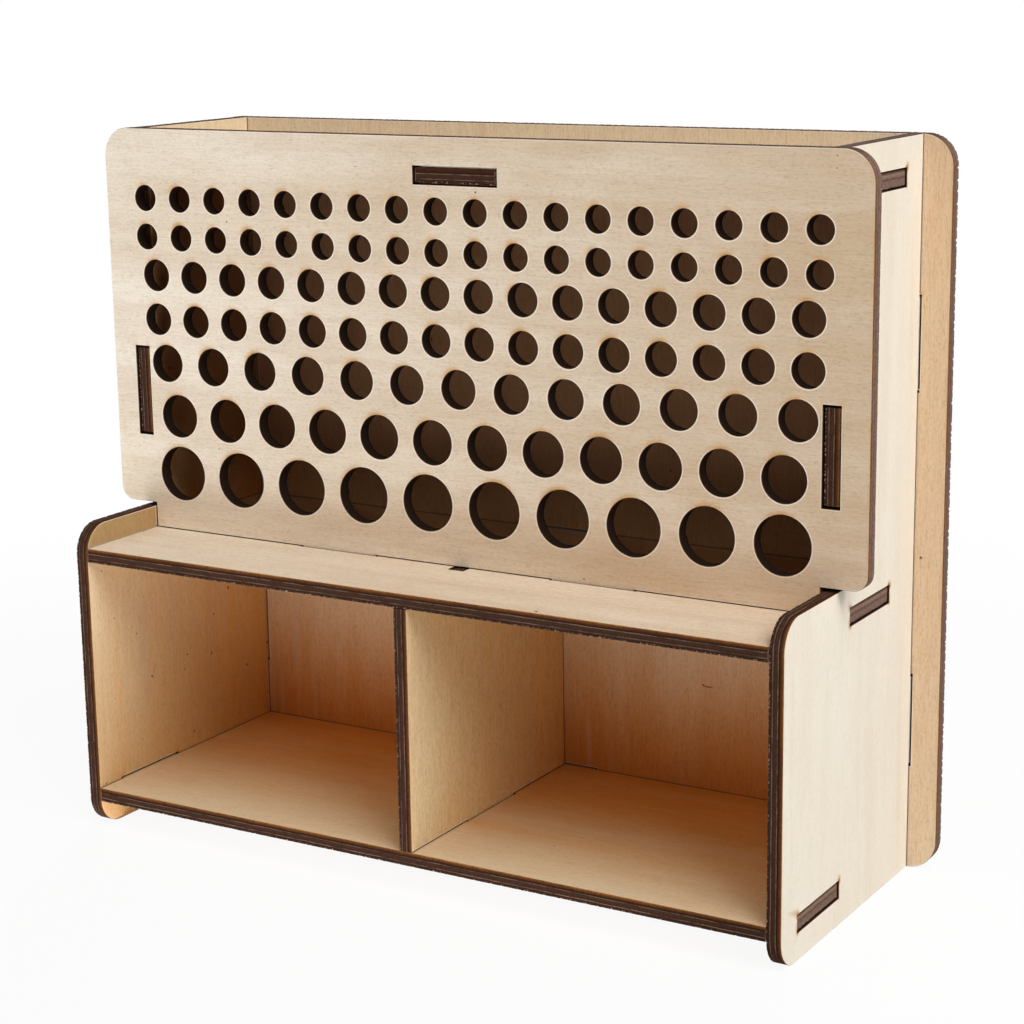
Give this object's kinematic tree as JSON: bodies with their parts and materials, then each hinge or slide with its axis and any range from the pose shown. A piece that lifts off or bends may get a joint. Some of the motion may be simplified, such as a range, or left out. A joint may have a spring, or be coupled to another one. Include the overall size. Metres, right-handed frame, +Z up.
{
  "type": "tool storage rack",
  "caption": "Plywood desktop rack for hand tools: perforated upright panel, open tray on top, a ledge and two open compartments below, joined by tabs in slots.",
  "frame": {"origin": "middle of the rack's footprint, on the surface it stands on", "axes": "+Z up, +X to the right seen from the front, +Y towards the back; the holes face -Y"},
  "size_m": [0.28, 0.1028, 0.2364],
  "materials": {
    "panel_ply": "bare plywood, laser cut",
    "side_ply": "bare plywood, laser cut",
    "back_ply": "bare plywood, laser cut",
    "shelf_ply": "bare plywood, laser cut",
    "divider_ply": "bare plywood, laser cut"
  },
  "bodies": {
    "root": {"front_hole_panel": "panel_ply", "left_side_panel": "side_ply", "right_side_panel": "side_ply", "back_panel": "back_ply", "top_tray_board": "shelf_ply", "middle_shelf": "shelf_ply", "bottom_shelf": "shelf_ply", "centre_divider": "divider_ply"}
  },
  "joints": []
}
